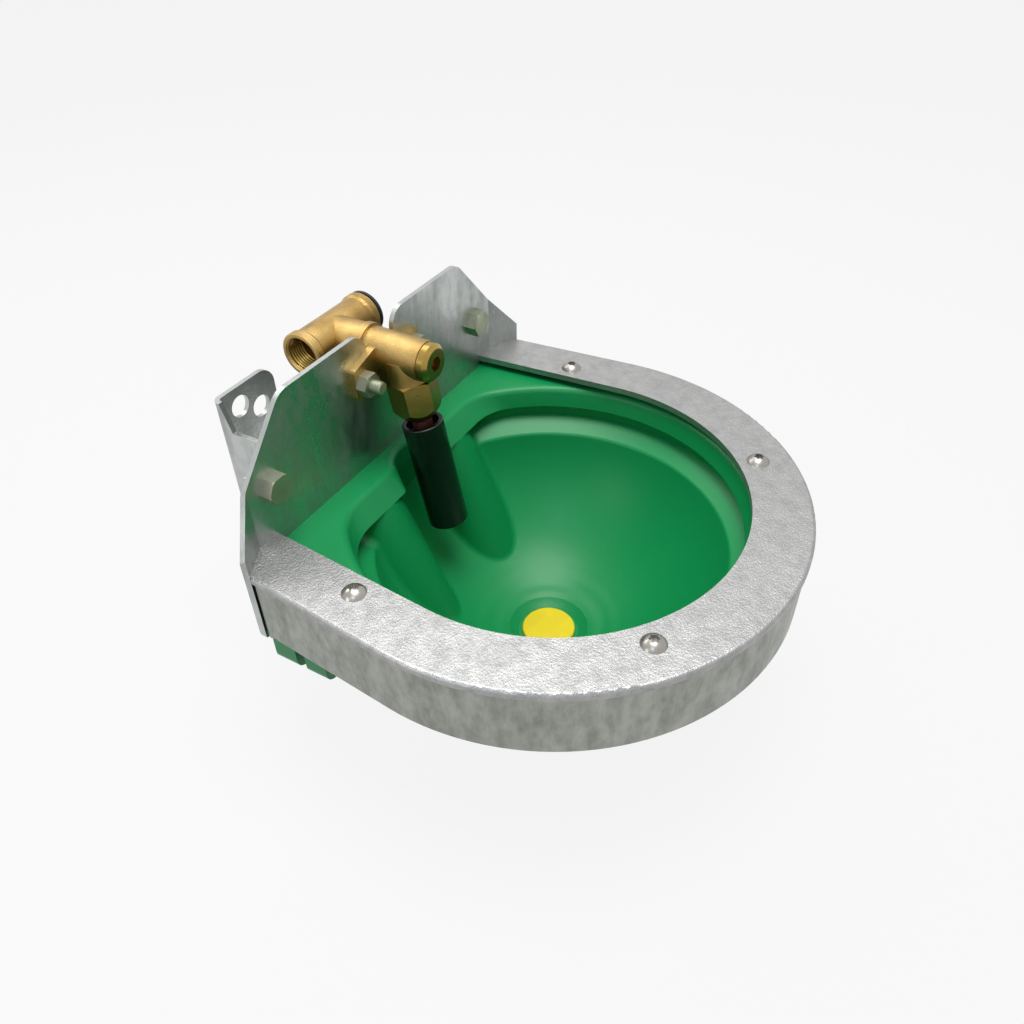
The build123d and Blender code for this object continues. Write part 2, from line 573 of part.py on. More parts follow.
# --- wall brackets -----------------------------------------------------------------------------
def make_wall_bracket():
    """Z-shaped bracket for the right side: wall flange inwards, web, front flange outwards."""
    plate_back = PLATE_Y + SHEET
    inner = BRACKET_X - SHEET
    plan = make_face(Polyline(
        (EAR_X, WALL_Y), (EAR_X, WALL_Y - SHEET), (inner, WALL_Y - SHEET), (inner, plate_back),
        (FOOT_X, plate_back), (FOOT_X, plate_back + SHEET), (BRACKET_X, plate_back + SHEET),
        (BRACKET_X, WALL_Y), close=True))
    corners = plan.vertices()
    tight = [v for v in corners if (abs(v.X - inner) < 0.01 and abs(v.Y - WALL_Y + SHEET) < 0.01)
             or (abs(v.X - BRACKET_X) < 0.01 and abs(v.Y - plate_back - SHEET) < 0.01)]
    plan = fillet(tight, BEND_R)
    wide = [v for v in plan.vertices() if (abs(v.X - BRACKET_X) < 0.01 and abs(v.Y - WALL_Y) < 0.01)
            or (abs(v.X - inner) < 0.01 and abs(v.Y - plate_back) < 0.01)]
    plan = fillet(wide, BEND_R + SHEET)
    low = BRACKET_MID_Z - BRACKET_H / 2
    high = BRACKET_MID_Z + BRACKET_H / 2
    bracket = slab(plan, low, high)
    ear = slab(Pos((EAR_X + BRACKET_X) / 2, WALL_Y - SHEET / 2) * Rectangle(BRACKET_X - EAR_X, 30), low, high)
    ear_edges = [e for e in bracket.edges().filter_by(Axis.Y)
                 if abs(e.center().X - EAR_X) < 0.01 and abs(e.length - SHEET) < 0.01]
    bracket = fillet(ear_edges, EAR_R)
    shoulder = WALL_Y - SHEET - BEND_R - 0.5
    front = plate_back + SHEET + BEND_R + 8
    dip = make_face(Polyline(
        (shoulder, high + 1), (shoulder, high), (WALL_Y - WEB_RISE_Y - SHEET, WEB_TOP_Z),
        (front + 16, WEB_TOP_Z), (front, high), (front, high + 1), close=True))
    dip = Pos(BRACKET_X - 20, 0, 0) * (Plane.YZ * extrude(dip, 40))
    bracket -= dip
    for x, rise in (OUTER_HOLE, INNER_HOLE):
        for side in (1, -1):
            bracket -= along_y(Cylinder(WALL_HOLE_R, 30), x, WALL_Y, BRACKET_MID_Z + side * rise)
    bracket -= along_y(Cylinder(M10_R + HOLE_GAP, 30), PLATE_BOLT[0], plate_back, PLATE_BOLT[1])
    return bracket


# --- bracket bolts -----------------------------------------------------------------------------
def bracket_bolt_length():
    return 2 * SHEET + M10_NUT + BOLT_TAIL


def make_bracket_bolts():
    bolt = hex_bolt(M10_R, M10_AF, M10_HEAD, bracket_bolt_length())
    place = along_y(bolt, PLATE_BOLT[0], PLATE_Y, PLATE_BOLT[1])
    return both_sides(place)


def make_bracket_nuts():
    nut = hex_nut(M10_R, M10_AF, M10_NUT)
    place = along_y(nut, PLATE_BOLT[0], PLATE_Y + 2 * SHEET + M10_NUT, PLATE_BOLT[1])
    return both_sides(place)


# --- valve body and its flange -----------------------------------------------------------------
def outlet(solid):
    """Move a solid made along the outlet's axis, with height zero where that axis meets the body's."""
    return Pos(0, OUTLET_Y, VALVE_Z) * Rot(-OUTLET_LEAN, 0, 0) * solid


def make_valve_body():
    length = BODY_BACK - BODY_FRONT
    body = along_y(disc_stack((BODY_R, 0, length), (SPIGOT_R, -SPIGOT_LEN, 0)), 0, BODY_BACK, VALVE_Z)
    half = [(FLANGE_NECK_X, FLANGE_TOP), (FLANGE_X, FLANGE_SHOULDER), (FLANGE_X, FLANGE_HEEL),
            (FLANGE_NECK_X, FLANGE_FOOT)]
    lozenge = make_face(Polyline(*half, *[(-x, z) for x, z in reversed(half)], close=True))
    ends = [v for v in lozenge.vertices() if abs(abs(v.X) - FLANGE_X) < 0.01]
    lozenge = fillet(ends, 2.5)
    body += across(Pos(0, VALVE_Z) * lozenge, FLANGE_FRONT, PLATE_Y - FLANGE_FRONT)
    neck_end = BOSS_LEN + BOSS_THREAD_LEN
    boss = outlet(disc_stack((BOSS_THREAD_R, -neck_end, -BOSS_LEN), (BOSS_R, -BOSS_LEN, 0)))
    body += boss & slab(Rectangle(200, 400), -200, VALVE_Z)
    bore = disc_stack((BODY_BORE_R, -SPIGOT_LEN - 1, length))
    body -= along_y(bore, 0, BODY_BACK, VALVE_Z)
    screw_end = SCREW_FACE_Y + SCREW_HEAD_T + SCREW_SHANK_LEN + SCREW_SEAT_GAP
    body -= along_y(disc_stack((SCREW_SHANK_R + THREAD_GAP, 0, 60)), 0, screw_end, VALVE_Z)
    body -= outlet(disc_stack((CHAMBER_R, -neck_end - 1, -CHAMBER_TOP), (BODY_BORE_R, -CHAMBER_TOP, 0)))
    for side in (1, -1):
        hole = Cylinder(M8_R + HOLE_GAP, 40)
        body -= along_y(hole, side * FLANGE_BOLT[0], FLANGE_FRONT, VALVE_Z + FLANGE_BOLT[1])
    return body


def flange_bolt_length():
    return M8_WASHER_T + SHEET + (PLATE_Y - FLANGE_FRONT) + M8_NUT + FLANGE_BOLT_TAIL


def make_flange_bolts():
    """Bolts with their heads behind the plate and their threads towards the animal."""
    bolt = hex_bolt(M8_R, M8_AF, M8_HEAD, flange_bolt_length())
    head_y = PLATE_Y + SHEET + M8_WASHER_T
    place = Pos(FLANGE_BOLT[0], head_y, VALVE_Z + FLANGE_BOLT[1]) * Rot(-90, 0, 0) * bolt
    return both_sides(place)


def make_flange_washers():
    washer = disc_stack((M8_WASHER_R, 0, M8_WASHER_T)) - Cylinder(M8_R + HOLE_GAP, 10)
    back = PLATE_Y + SHEET + M8_WASHER_T
    return both_sides(along_y(washer, FLANGE_BOLT[0], back, VALVE_Z + FLANGE_BOLT[1]))


def make_flange_nuts():
    nut = hex_nut(M8_R, M8_AF, M8_NUT)
    return both_sides(along_y(nut, FLANGE_BOLT[0], FLANGE_FRONT, VALVE_Z + FLANGE_BOLT[1]))


# --- outlet ------------------------------------------------------------------------------------
def make_outlet_nut():
    """Hexagonal nut, turned to a taper at its foot, that holds the seat and closes the spring chamber."""
    nut = slab(RegularPolygon(NUT_AF / 2, 6, major_radius=False), -NUT_FOOT, -BOSS_LEN)
    crown = NUT_AF / math.sqrt(3) + 0.2
    cap = turned([(0, -NUT_FOOT), (NUT_FOOT_R, -NUT_FOOT), (crown, -NUT_FOOT + NUT_TAPER),
                  (crown, -BOSS_LEN - 1.4), (NUT_AF / 2, -BOSS_LEN), (0, -BOSS_LEN)])
    nut = Rot(0, 0, NUT_TURN) * (nut & cap)
    thread_end = BOSS_LEN + BOSS_THREAD_LEN + 0.3
    nut -= disc_stack((NUT_HOLE_R, -NUT_FOOT - 1, -SEAT_TOP), (CHAMBER_R, -SEAT_TOP - SEAT_T, -thread_end),
                      (BOSS_THREAD_R + THREAD_GAP, -thread_end, -BOSS_LEN + 1))
    dot = Pos(NUT_AF / 2, 0, -BOSS_LEN - NUT_DOT_DROP) * Rot(0, 90, 0) * Cone(0.01, NUT_DOT_R, 2 * NUT_DOT_R)
    nut -= Rot(0, 0, 210 + NUT_TURN) * dot
    return outlet(nut)


def make_valve_seat():
    """Seat ring with a round socket for the stem's ball."""
    seat = disc_stack((CHAMBER_R - BALL_GAP, -SEAT_TOP - SEAT_T, -SEAT_TOP))
    seat -= disc_stack((SEAT_HOLE_R, -SEAT_TOP - SEAT_T - 1, -SEAT_TOP + 1))
    seat -= Pos(0, 0, -PIVOT) * Sphere(BALL_R + BALL_GAP)
    return outlet(seat)


def make_valve_stem():
    """Steel stem: a ball that closes the seat, and a pin down into the tube."""
    stem = Pos(0, 0, -PIVOT) * Sphere(BALL_R) + disc_stack((STEM_R, -STEM_END, -PIVOT))
    return outlet(stem)


def make_spring_washer():
    """Washer with a round socket that rides on the ball and carries the spring."""
    washer = disc_stack((WASHER_R, -WASHER_TOP - WASHER_T, -WASHER_TOP))
    washer -= Pos(0, 0, -PIVOT) * Sphere(BALL_R + BALL_GAP)
    return outlet(washer)


def make_valve_spring():
    """Closing spring, squared off where it meets the body and the washer."""
    room = WASHER_TOP - CHAMBER_TOP
    rise = room - 2 * SPRING_WIRE
    path = Helix(pitch=rise / SPRING_TURNS, height=rise, radius=SPRING_R)
    section = Plane(origin=path @ 0, z_dir=path % 0) * Circle(SPRING_WIRE)
    coil = sweep(section, path=path)
    return outlet(Pos(0, 0, -WASHER_TOP + SPRING_WIRE) * coil)


# --- tube --------------------------------------------------------------------------------------
def make_actuator_tube():
    tube = disc_stack((TUBE_R, -TUBE_TOP - TUBE_LEN, -TUBE_TOP))
    tube -= disc_stack((TUBE_BORE_R, -TUBE_TOP - TUBE_LEN - 1, -TUBE_TOP + 1))
    tube = fillet(tube.edges().filter_by(GeomType.CIRCLE), 0.8)
    return outlet(tube)


def make_tube_holder():
    """Rubber holder between stem and tube: hollow neck, and a hub with water ports round the stem."""
    holder = disc_stack((TUBE_BORE_R - HOLDER_GAP, -HOLDER_FOOT, -HOLDER_HUB),
                        (HOLDER_NECK_R, -HOLDER_HUB, -HOLDER_TOP))
    holder -= disc_stack((STEM_R + HOLDER_GAP, -STEM_END - HOLDER_GAP, -HOLDER_HUB),
                         (HOLDER_NECK_BORE_R, -HOLDER_HUB, -HOLDER_TOP + 1))
    for turn in range(6):
        port = Pos(HOLDER_PORT_CIRCLE, 0, -HOLDER_FOOT - 1) * disc_stack((HOLDER_PORT_R, 0, 12.5))
        holder -= Rot(0, 0, 60 * turn) * port
    return outlet(holder)


# --- regulating screw, made along +Z pointing at the animal, head's back face on Z = 0 ----------
def screw_place(solid):
    return along_y(solid, 0, SCREW_FACE_Y + SCREW_HEAD_T, VALVE_Z)


def make_regulating_screw():
    screw = disc_stack((SCREW_TIP_R, -SCREW_SHANK_LEN - SCREW_TIP_LEN, -SCREW_SHANK_LEN),
                       (SCREW_SHANK_R, -SCREW_SHANK_LEN, 0), (BODY_R - 0.5, 0, SCREW_HEAD_T))
    screw = chamfer(screw.edges().group_by(Axis.Z)[-1], SCREW_BEVEL)
    groove = disc_stack((SCREW_SHANK_R + 1, -SCREW_RING_PLACE - 1.4, -SCREW_RING_PLACE + 1.4))
    groove -= Cylinder(SCREW_SHANK_R - 2 * SCREW_RING_R - 0.1, 60)
    screw -= groove
    socket = Pos(0, 0, SCREW_HEAD_T - SOCKET_DEPTH) * hex_prism(SOCKET_AF, SOCKET_DEPTH + 1)
    return screw_place(screw - socket)


def make_regulating_seal():
    return screw_place(ring_of(SCREW_SHANK_R - SCREW_RING_R, SCREW_RING_R, -SCREW_RING_PLACE))


# --- tee ---------------------------------------------------------------------------------------
def make_tee():
    foot = TEE_HALF - TEE_BEAD
    half = turned([(0, 0), (TEE_R, 0), (TEE_R, foot - TEE_BEAD_SLOPE), (TEE_BEAD_R, foot),
                   (TEE_BEAD_R, TEE_HALF - 0.8), (TEE_BEAD_R - 0.8, TEE_HALF), (0, TEE_HALF)])
    run = half + mirror(half, Plane.XY)
    branch_len = TEE_Y - BODY_BACK
    branch = disc_stack((TEE_BRANCH_R, 0, branch_len))
    branch += disc_stack((TEE_BRANCH_BEAD_R, branch_len - TEE_BRANCH_BEAD, branch_len))
    tee = Rot(0, 90, 0) * run + Rot(90, 0, 0) * branch
    mouth = disc_stack((TEE_THREAD_R, TEE_HALF - TEE_THREAD_LEN, TEE_HALF + 1))
    flare = TEE_MOUTH_R - TEE_THREAD_R
    mouth += turned([(0, TEE_HALF - flare), (TEE_THREAD_R, TEE_HALF - flare), (TEE_MOUTH_R, TEE_HALF),
                     (TEE_MOUTH_R, TEE_HALF + 1), (0, TEE_HALF + 1)])
    tee -= Rot(0, 90, 0) * (Cylinder(TEE_BORE_R, 2 * TEE_HALF) + mouth + mirror(mouth, Plane.XY))
    socket_depth = SPIGOT_LEN + 1
    tee -= Rot(90, 0, 0) * disc_stack((TEE_BRANCH_BORE_R, 0, branch_len),
                                      (TEE_THREAD_R, branch_len - socket_depth, branch_len + 1))
    return Pos(0, TEE_Y, VALVE_Z) * tee


def tee_end(solid):
    """Move a solid made along +Z to the closed right end of the tee."""
    return Pos(TEE_HALF, TEE_Y, VALVE_Z) * Rot(0, 90, 0) * solid


def make_tee_plug():
    plug = disc_stack((TEE_THREAD_R - THREAD_GAP, -TEE_PLUG_SHANK, TEE_SEAL_T),
                      (TEE_PLUG_R, TEE_SEAL_T, TEE_SEAL_T + TEE_PLUG_T))
    plug = chamfer(plug.edges().group_by(Axis.Z)[-1], 0.6)
    plug -= disc_stack((TEE_THREAD_R - 3, -TEE_PLUG_SHANK - 1, -1))
    return tee_end(plug)


def make_tee_plug_seal():
    seal = disc_stack((TEE_BEAD_R - 1.2, 0, TEE_SEAL_T)) - Cylinder(TEE_THREAD_R + 0.1, 10)
    return tee_end(seal)


def make_inlet_strainer():
    """Gauze basket held between the body's spigot and the tee."""
    basket = disc_stack((STRAINER_R, 0, STRAINER_LEN), (STRAINER_RIM_R, -0.8, 0))
    basket -= disc_stack((STRAINER_R - STRAINER_WALL, -1, STRAINER_LEN - STRAINER_WALL))
    return along_y(basket, 0, BODY_BACK + SPIGOT_LEN, VALVE_Z)


# --- export ------------------------------------------------------------------------------------
def export(name, *solids):
    """Write one node, moved so that the origin is the middle of the bolt pattern on the wall face."""
    to_wall = Pos(0, -WALL_Y, -BRACKET_MID_Z)
    placed = [to_wall * solid for solid in solids]
    shape = placed[0] if len(placed) == 1 else Compound(children=placed)
    export_step(shape, f"parts/{name}.step")


def build():
    os.makedirs("parts", exist_ok=True)
    right_bracket = make_wall_bracket()
    export("bowl", make_bowl())
    export("drain_plug", make_drain_plug())
    export("drain_plug_seal", make_drain_plug_seal())
    export("guard_ring", make_guard_ring())
    export("guard_skirt", make_guard_skirt())
    export("guard_welds", *make_guard_welds())
    export("back_plate", make_back_plate())
    export("ring_screws", *make_ring_screws())
    export("ring_inserts", *make_ring_inserts())
    export("wall_bracket_right", right_bracket)
    export("wall_bracket_left", mirror(right_bracket, Plane.YZ))
    export("bracket_bolts", *make_bracket_bolts())
    export("bracket_nuts", *make_bracket_nuts())
    export("valve_body", make_valve_body())
    export("flange_bolts", *make_flange_bolts())
    export("flange_washers", *make_flange_washers())
    export("flange_nuts", *make_flange_nuts())
    export("outlet_nut", make_outlet_nut())
    export("valve_seat", make_valve_seat())
    export("valve_stem", make_valve_stem())
    export("spring_washer", make_spring_washer())
    export("valve_spring", make_valve_spring())
    export("actuator_tube", make_actuator_tube())
    export("tube_holder", make_tube_holder())
    export("regulating_screw", make_regulating_screw())
    export("regulating_seal", make_regulating_seal())
    export("tee", make_tee())
    export("tee_plug", make_tee_plug())
    export("tee_plug_seal", make_tee_plug_seal())
    export("inlet_strainer", make_inlet_strainer())


if __name__ == "__main__":
    build()
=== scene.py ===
import math

import bpy
import numpy as np
from mathutils import Matrix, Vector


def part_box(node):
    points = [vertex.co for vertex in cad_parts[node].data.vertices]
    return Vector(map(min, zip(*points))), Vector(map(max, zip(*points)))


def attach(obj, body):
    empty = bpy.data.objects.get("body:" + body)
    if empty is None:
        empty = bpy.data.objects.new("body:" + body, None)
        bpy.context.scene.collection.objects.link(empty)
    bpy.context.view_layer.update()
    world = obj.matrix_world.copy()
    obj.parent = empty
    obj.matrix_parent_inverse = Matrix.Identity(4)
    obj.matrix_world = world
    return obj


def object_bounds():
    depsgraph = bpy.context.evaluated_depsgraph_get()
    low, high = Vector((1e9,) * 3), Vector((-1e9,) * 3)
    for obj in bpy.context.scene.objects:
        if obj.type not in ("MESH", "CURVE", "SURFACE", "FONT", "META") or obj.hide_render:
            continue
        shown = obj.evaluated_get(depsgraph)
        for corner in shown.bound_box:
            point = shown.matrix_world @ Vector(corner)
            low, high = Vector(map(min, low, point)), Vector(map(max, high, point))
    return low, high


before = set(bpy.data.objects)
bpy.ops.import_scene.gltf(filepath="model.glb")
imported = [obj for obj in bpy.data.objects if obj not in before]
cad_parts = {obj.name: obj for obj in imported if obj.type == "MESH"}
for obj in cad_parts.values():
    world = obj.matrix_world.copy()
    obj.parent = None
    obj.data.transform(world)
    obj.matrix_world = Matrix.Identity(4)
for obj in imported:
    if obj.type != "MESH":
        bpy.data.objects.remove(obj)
cad_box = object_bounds()

# ---- Camera ----
# A standing person's view, from the left of the bowl and above it, towards the wall.  The heading is where
# the camera's right hand points, turned from +X, and the dip is how far it looks down.
CAMERA_PLACE = (-0.34845, -0.36112, 0.32488)
CAMERA_HEADING = math.radians(-60.0)
CAMERA_DIP = math.radians(40.69)
CAMERA_ROLL = math.radians(-0.82)
LENS_MM = 30.36
SENSOR_MM = 36.0
NEAREST = 0.01


def camera_turn(heading, dip, roll):
    """Rotation with columns right, up and back: right is level, up leans by the dip, both are rolled."""
    right = np.array([math.cos(heading), math.sin(heading), 0.0])
    level = np.array([-right[1], right[0], 0.0])
    up = level * math.sin(dip) + np.array([0.0, 0.0, math.cos(dip)])
    rolled_right = right * math.cos(roll) + up * math.sin(roll)
    rolled_up = up * math.cos(roll) - right * math.sin(roll)
    return np.column_stack([rolled_right, rolled_up, np.cross(rolled_right, rolled_up)])


camera = bpy.data.objects.new("camera", bpy.data.cameras.new("camera"))
camera.data.lens = LENS_MM
camera.data.sensor_width = SENSOR_MM
camera.data.clip_start = NEAREST
bpy.context.collection.objects.link(camera)
pose = np.eye(4)
pose[:3, :3] = camera_turn(CAMERA_HEADING, CAMERA_DIP, CAMERA_ROLL)
pose[:3, 3] = CAMERA_PLACE
camera.matrix_world = Matrix(pose.tolist())
bpy.context.scene.camera = camera

# ---- Floor, backdrop and light ----
# White paper just below the bowl, a broad softbox overhead, one high behind on the right, smaller ones
# behind the wall, on the left and low on the left, and an even pale surround.
FLOOR_GAP = 0.002
FLOOR_Z = float(cad_box[0][2]) - FLOOR_GAP
FLOOR_HALF = 6.0
BACKDROP_WHITE = "ffffff"
PAPER_GREY = "b8b8b8"
PAPER_GLOW = 0.88
SURROUND_LIGHT = 0.22
BOWL_MIDDLE = (0.0, -0.18, 0.0)


def ink(code):
    """sRGB hex to linear RGBA: c/12.92 when dark, ((c + 0.055)/1.055)^2.4 otherwise."""
    srgb = np.array([int(code[i:i + 2], 16) for i in (0, 2, 4)]) / 255.0
    linear = np.where(srgb <= 0.04045, srgb / 12.92, ((srgb + 0.055) / 1.055) ** 2.4)
    return (*linear.tolist(), 1.0)


def add(tree, kind, inputs=(), **settings):
    """One shader node with its settings; an input is a value, or the socket that feeds it."""
    made = tree.nodes.new("ShaderNode" + kind)
    for name, value in settings.items():
        setattr(made, name, value)
    for name, value in dict(inputs).items():
        if isinstance(value, bpy.types.NodeSocket):
            tree.links.new(value, made.inputs[name])
        else:
            made.inputs[name].default_value = value
    return made


def seen_or_lit(tree, lit, seen):
    """seen for rays that show the backdrop, straight or in metal and gloss, lit for those that light."""
    ray = add(tree, "LightPath").outputs
    plain = {0: ray["Is Camera Ray"], 1: ray["Is Glossy Ray"]}
    plain_or_shiny = add(tree, "Math", plain, operation="MAXIMUM").outputs[0]
    every = {0: plain_or_shiny, 1: ray["Is Transmission Ray"]}
    shown = add(tree, "Math", every, operation="MAXIMUM")
    return add(tree, "MapRange", {"Value": shown.outputs[0], "To Min": lit, "To Max": seen}).outputs[0]


world = bpy.data.worlds.new("white surround")
world.use_nodes = True
tree = world.node_tree
tree.nodes.clear()
strength = seen_or_lit(tree, SURROUND_LIGHT, 1.0)
surround = add(tree, "Background", {"Color": ink(BACKDROP_WHITE), "Strength": strength})
add(tree, "OutputWorld", {"Surface": surround.outputs[0]})
bpy.context.scene.world = world

floor_mesh = bpy.data.meshes.new("studio floor")
corners = np.array([(-1, -1), (1, -1), (1, 1), (-1, 1)]) * FLOOR_HALF
floor_mesh.from_pydata([(x, y, FLOOR_Z) for x, y in corners.tolist()], [], [(0, 1, 2, 3)])
floor = bpy.data.objects.new("studio floor", floor_mesh)
bpy.context.collection.objects.link(floor)
paper = bpy.data.materials.new("white paper")
paper.use_nodes = True
tree = paper.node_tree
tree.nodes.clear()
matt = add(tree, "BsdfDiffuse", {"Color": ink(PAPER_GREY)}).outputs[0]
glow = add(tree, "Emission", {"Color": ink(BACKDROP_WHITE), "Strength": 1.0}).outputs[0]
blend = add(tree, "MixShader", {0: seen_or_lit(tree, 0.0, PAPER_GLOW), 1: matt, 2: glow})
add(tree, "OutputMaterial", {"Surface": blend.outputs[0]})
floor_mesh.materials.append(paper)


def softbox(name, place, size, power, tint, target=BOWL_MIDDLE):
    """Rectangular area lamp at a place, facing a target; size in metres, power in watts."""
    lamp = bpy.data.lights.new(name, "AREA")
    lamp.shape = "RECTANGLE"
    lamp.size, lamp.size_y = size
    lamp.energy = power
    lamp.color = ink(tint)[:3]
    holder = bpy.data.objects.new(name, lamp)
    bpy.context.collection.objects.link(holder)
    back = np.array(place) - np.array(target)
    back = back / np.linalg.norm(back)
    side = np.cross([0.0, 0.0, 1.0], back)
    side = side / np.linalg.norm(side)
    turn = np.eye(4)
    turn[:3, :3] = np.column_stack([side, np.cross(back, side), back])
    turn[:3, 3] = place
    holder.matrix_world = Matrix(turn.tolist())


softbox("overhead softbox", (0.0, -0.25, 1.4), (0.8, 0.8), 19.0, "ffffff")
softbox("main softbox", (0.40, 0.513, 1.024), (0.56, 0.42), 2.2, "ffffff")
softbox("back softbox", (0.0, 0.9, 0.8), (0.6, 0.4), 3.0, "fffaf4")
softbox("left softbox", (-0.9, -0.45, 0.95), (0.4, 0.4), 1.6, "cfe4ff")
softbox("low left softbox", (-1.0, 0.2, 0.4), (0.4, 0.3), 1.2, "ffffff", target=(-0.1, -0.15, 0.0))

# ---- Basin ----
# One green polyethylene moulding: lip, ledge, round bottom and two guide humps.  The mould leaves it satin,
# with a faint orange peel all over and shallow turning rings round the drain.
MOULDED_GREEN = "0f8a4c"
MOULDED_ROUGHNESS = 0.38
MOULDED_SHEEN = 0.3
ORANGE_PEEL_MM = 3.85
ORANGE_PEEL_RELIEF_MM = 0.12
DRAIN_Y = -0.187
DRAIN_RING_MM = 12.08
DRAIN_RING_HEIGHT = 5.0
DRAIN_RINGS_FULL = 0.03
DRAIN_RINGS_END = 0.055


def shader(name, base, metallic, roughness):
    """A material whose tree holds one Principled shader; returns (material, tree, shader node)."""
    material = bpy.data.materials.new(name)
    material.use_nodes = True
    tree = material.node_tree
    tree.nodes.clear()
    looks = {"Base Color": ink(base), "Metallic": metallic, "Roughness": roughness}
    skin = add(tree, "BsdfPrincipled", looks)
    add(tree, "OutputMaterial", {"Surface": skin.outputs[0]})
    return material, tree, skin


def finish_node(name, material):
    """Puts this finish in each material slot of a CAD node."""
    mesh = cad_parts[name].data
    for place in range(len(mesh.materials)):
        mesh.materials[place] = material


def moulded_green():
    """Satin polyethylene, even in colour.  Height = orange peel + rings, where the rings keep their full
    height out to one distance from the drain's axis and fade to none at another."""
    material, tree, skin = shader("satin moulded polyethylene", MOULDED_GREEN, 0.0, MOULDED_ROUGHNESS)
    skin.inputs["Specular IOR Level"].default_value = MOULDED_SHEEN
    where = add(tree, "TexCoord").outputs["Object"]
    peel_scale = 1000.0 / ORANGE_PEEL_MM
    peel = add(tree, "TexNoise", {"Vector": where, "Scale": peel_scale, "Detail": 2.0})

    # A wave texture turns 20 radians a unit, so a ring's width is 2 pi / 20 over its scale.
    ring_scale = 1000.0 * 2 * math.pi / 20 / DRAIN_RING_MM
    centred = add(tree, "Mapping", {"Vector": where, "Location": (0.0, -DRAIN_Y, 0.0)}).outputs[0]
    waves = {"wave_type": "RINGS", "rings_direction": "Z"}
    rings = add(tree, "TexWave", {"Vector": centred, "Scale": ring_scale}, **waves)
    level = add(tree, "VectorMath", {0: centred, 1: (1.0, 1.0, 0.0)}, operation="MULTIPLY").outputs[0]
    away = add(tree, "VectorMath", {0: level}, operation="LENGTH").outputs["Value"]
    reach = {"From Min": DRAIN_RINGS_FULL, "From Max": DRAIN_RINGS_END}
    fading = add(tree, "MapRange", {"Value": away, **reach, "To Min": DRAIN_RING_HEIGHT, "To Max": 0.0})

    turned = add(tree, "Math", {0: rings.outputs["Fac"], 1: fading.outputs[0]}, operation="MULTIPLY")
    height = add(tree, "Math", {0: peel.outputs["Fac"], 1: turned.outputs[0]}, operation="ADD").outputs[0]
    depth = ORANGE_PEEL_RELIEF_MM / 1000.0
    bump = add(tree, "Bump", {"Height": height, "Strength": 0.5, "Distance": depth})
    tree.links.new(bump.outputs[0], skin.inputs["Normal"])
    return material


finish_node("bowl", moulded_green())

# ---- Drain plug and seals ----
# A yellow polypropylene plug pushed in from above, with a black rubber ring in its groove.  The valve's
# seat and seals are the same moulded rubber, matt with a fine grain.
PATCH_MM = 16.7
PATCH_WEAR = 0.1


def two_tones(tree, skin, tone, dull, bright):
    """Base colour that runs from the dull ink at tone 0 to the bright one at tone 1."""
    tint = add(tree, "Mix", {"Factor": tone, "A": ink(dull), "B": ink(bright)}, data_type="RGBA")
    tree.links.new(tint.outputs["Result"], skin.inputs["Base Color"])


def raised_grain(tree, skin, where, grain_mm, relief_mm, detail, wildness):
    """Noise of a stated grain size and height, both in mm, tilts the surface."""
    size = {"Scale": 1000.0 / grain_mm, "Detail": detail, "Roughness": wildness}
    grain = add(tree, "TexNoise", {"Vector": where, **size})
    depth = relief_mm / 1000.0
    bump = add(tree, "Bump", {"Height": grain.outputs["Fac"], "Strength": 1.0, "Distance": depth})
    tree.links.new(bump.outputs[0], skin.inputs["Normal"])


def speckled(name, base, deep, metallic, roughness, grain_mm, relief_mm):
    """A finish that wanders between two colours, duller in the deep one, over a fine raised grain."""
    material, tree, skin = shader(name, base, metallic, roughness)
    where = add(tree, "TexCoord").outputs["Object"]
    patches = add(tree, "TexNoise", {"Vector": where, "Scale": 1000.0 / PATCH_MM, "Detail": 3.0})
    share = {"Value": patches.outputs["Fac"], "From Min": 0.35, "From Max": 0.65}
    tone = add(tree, "MapRange", share).outputs[0]
    two_tones(tree, skin, tone, deep, base)
    worn = add(tree, "MapRange", {"Value": tone, "To Min": roughness + PATCH_WEAR, "To Max": roughness})
    tree.links.new(worn.outputs[0], skin.inputs["Roughness"])
    raised_grain(tree, skin, where, grain_mm, relief_mm, detail=2.0, wildness=0.5)
    return material


# Polypropylene: a soft, slightly waxy yellow.
yellow = speckled(
    "satin yellow polypropylene", "efd312", "e6c80c",
    metallic=0.0, roughness=0.42, grain_mm=2.0, relief_mm=0.02,
)
finish_node("drain_plug", yellow)

# Rubber: near black and matt, with no clear highlight.
black_rubber = speckled(
    "moulded black rubber", "1b1c1f", "121315",
    metallic=0.0, roughness=0.62, grain_mm=0.8, relief_mm=0.04,
)
for seal in ("drain_plug_seal", "valve_seat", "regulating_seal", "tee_plug_seal"):
    finish_node(seal, black_rubber)

# ---- Guard ring, skirt, welds, back plate and brackets ----
# Steel sheet, welded and then dipped in molten zinc.  The zinc skins over rough and pebbly on the ring and
# runs down in streaks on the skirt, plate and brackets, with faint crystals a few millimetres across.
CRYSTAL_MM = 6.25
CRYSTAL_SHARE = 0.12


